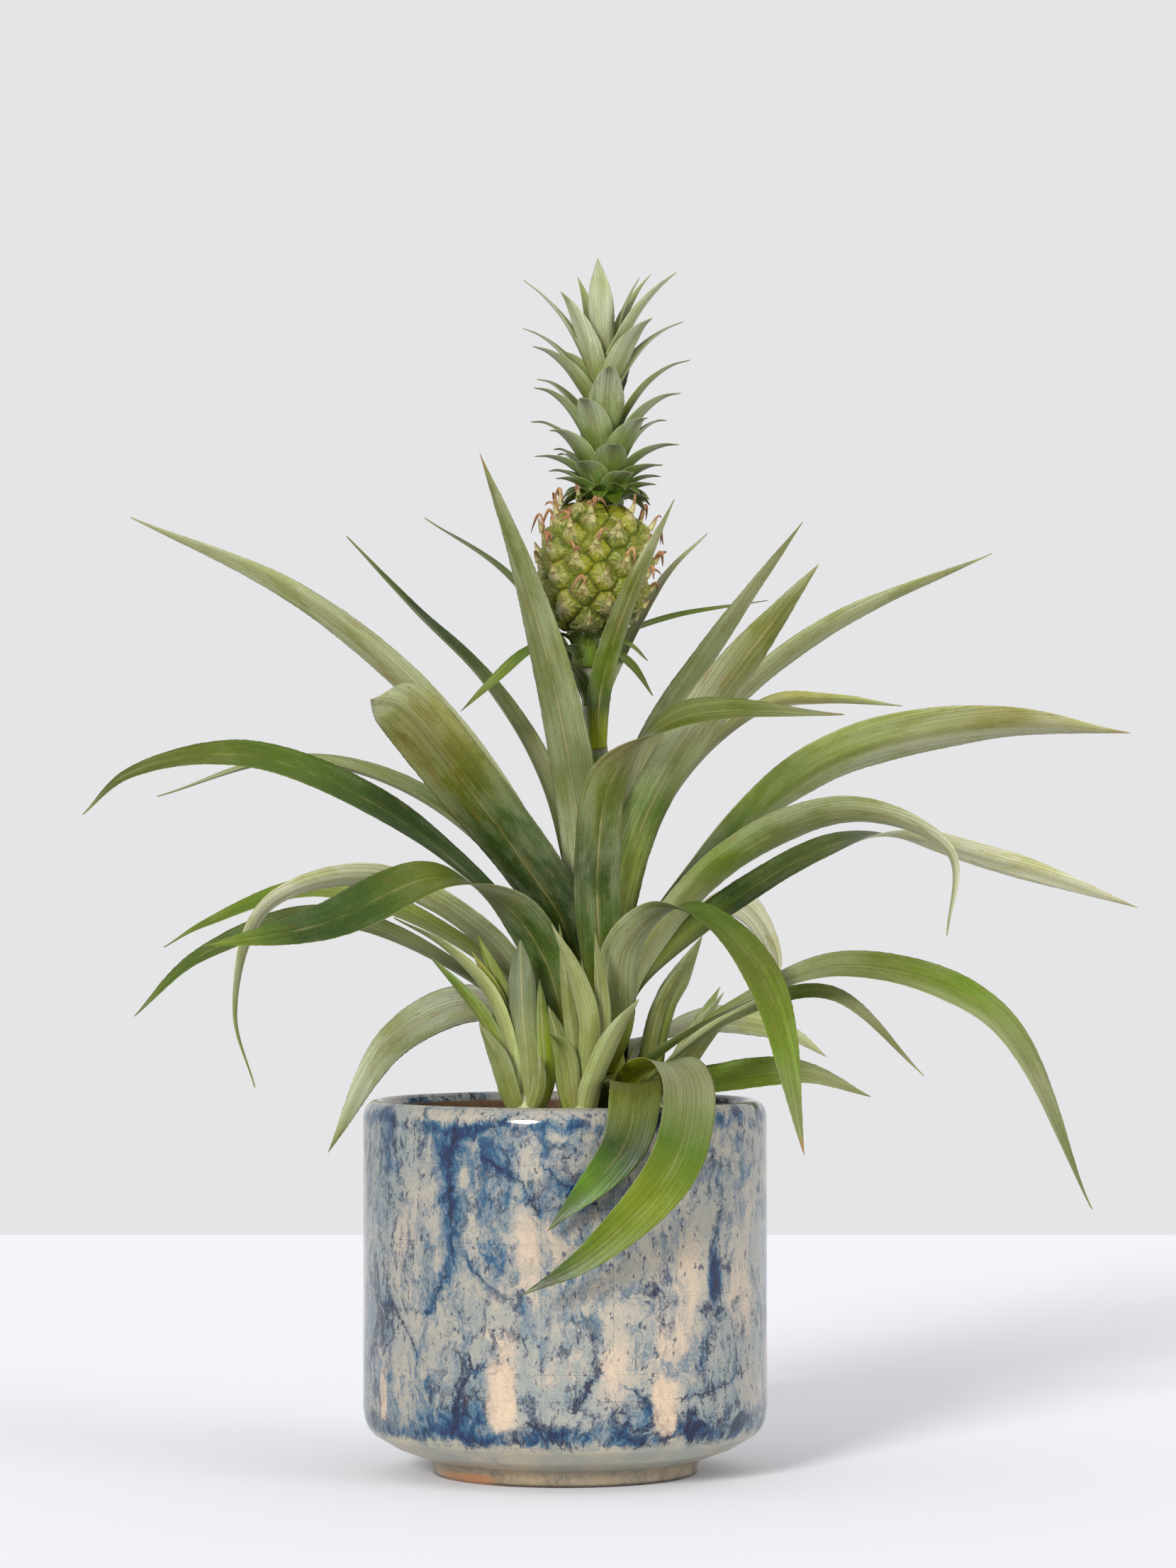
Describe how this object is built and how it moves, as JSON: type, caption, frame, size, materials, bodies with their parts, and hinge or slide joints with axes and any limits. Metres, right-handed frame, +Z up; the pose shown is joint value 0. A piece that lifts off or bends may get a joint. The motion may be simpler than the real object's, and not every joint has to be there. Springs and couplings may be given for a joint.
{
  "type": "potted pineapple plant",
  "caption": "Small ornamental pineapple plant in a glazed round pot: a rosette of long arching leaves, side shoots, and a stalk bearing a crowned fruit.",
  "frame": {"origin": "centre of the pot's flat underside, on the surface that the pot stands on", "axes": "+Z up along the pot's axis, -Y towards the viewer of the front, +X to the viewer's right"},
  "size_m": [0.393, 0.242, 0.4506],
  "materials": {
    "glaze": "glossy mottled cream and blue glaze over stoneware",
    "soil": "damp dark potting compost",
    "stalk": "matt fibrous stem",
    "bract": "waxy green bract",
    "fruit": "waxy unripe fruit skin",
    "crown_leaf": "grey-green scaly leaf",
    "shoot_leaf": "pale grey-green leaf",
    "leaf": "satin green leaf, paler and scaly underneath"
  },
  "bodies": {
    "root": {"pot": "glaze", "soil": "soil", "stem": "stalk", "collar": "bract", "fruit": "fruit", "crown": "crown_leaf", "shoot_left": "shoot_leaf", "shoot_centre": "shoot_leaf", "shoot_right": "shoot_leaf", "leaf_left_high": "leaf", "leaf_front_left_up": "leaf", "leaf_back_left_slim": "leaf", "leaf_front_tall": "leaf", "leaf_right_up_back": "leaf", "leaf_right_up_front": "leaf", "leaf_right_long_back": "leaf", "leaf_right_mid_back": "leaf", "leaf_front_centre": "leaf", "leaf_right_big": "leaf", "leaf_right_mid_front": "leaf", "leaf_right_low_back": "leaf", "leaf_back_right_drop": "leaf", "leaf_front_fold": "leaf", "leaf_right_trailing": "leaf", "leaf_right_trailing_short": "leaf", "leaf_back_right_low": "leaf", "leaf_right_low": "leaf", "leaf_front_drape_left": "leaf", "leaf_front_drape_right": "leaf", "leaf_left_arch_front": "leaf", "leaf_left_arch_back": "leaf", "leaf_front_left_fold": "leaf", "leaf_left_weeping": "leaf", "leaf_left_low_upper": "leaf", "leaf_left_low": "leaf", "leaf_back_left_low": "leaf", "leaf_back_low_right": "leaf", "leaf_back_low_left": "leaf", "leaf_back_middle": "leaf", "leaf_back_upper": "leaf", "leaf_stalk_left": "leaf", "leaf_stalk_right": "leaf", "leaf_stalk_back": "leaf"}
  },
  "joints": []
}
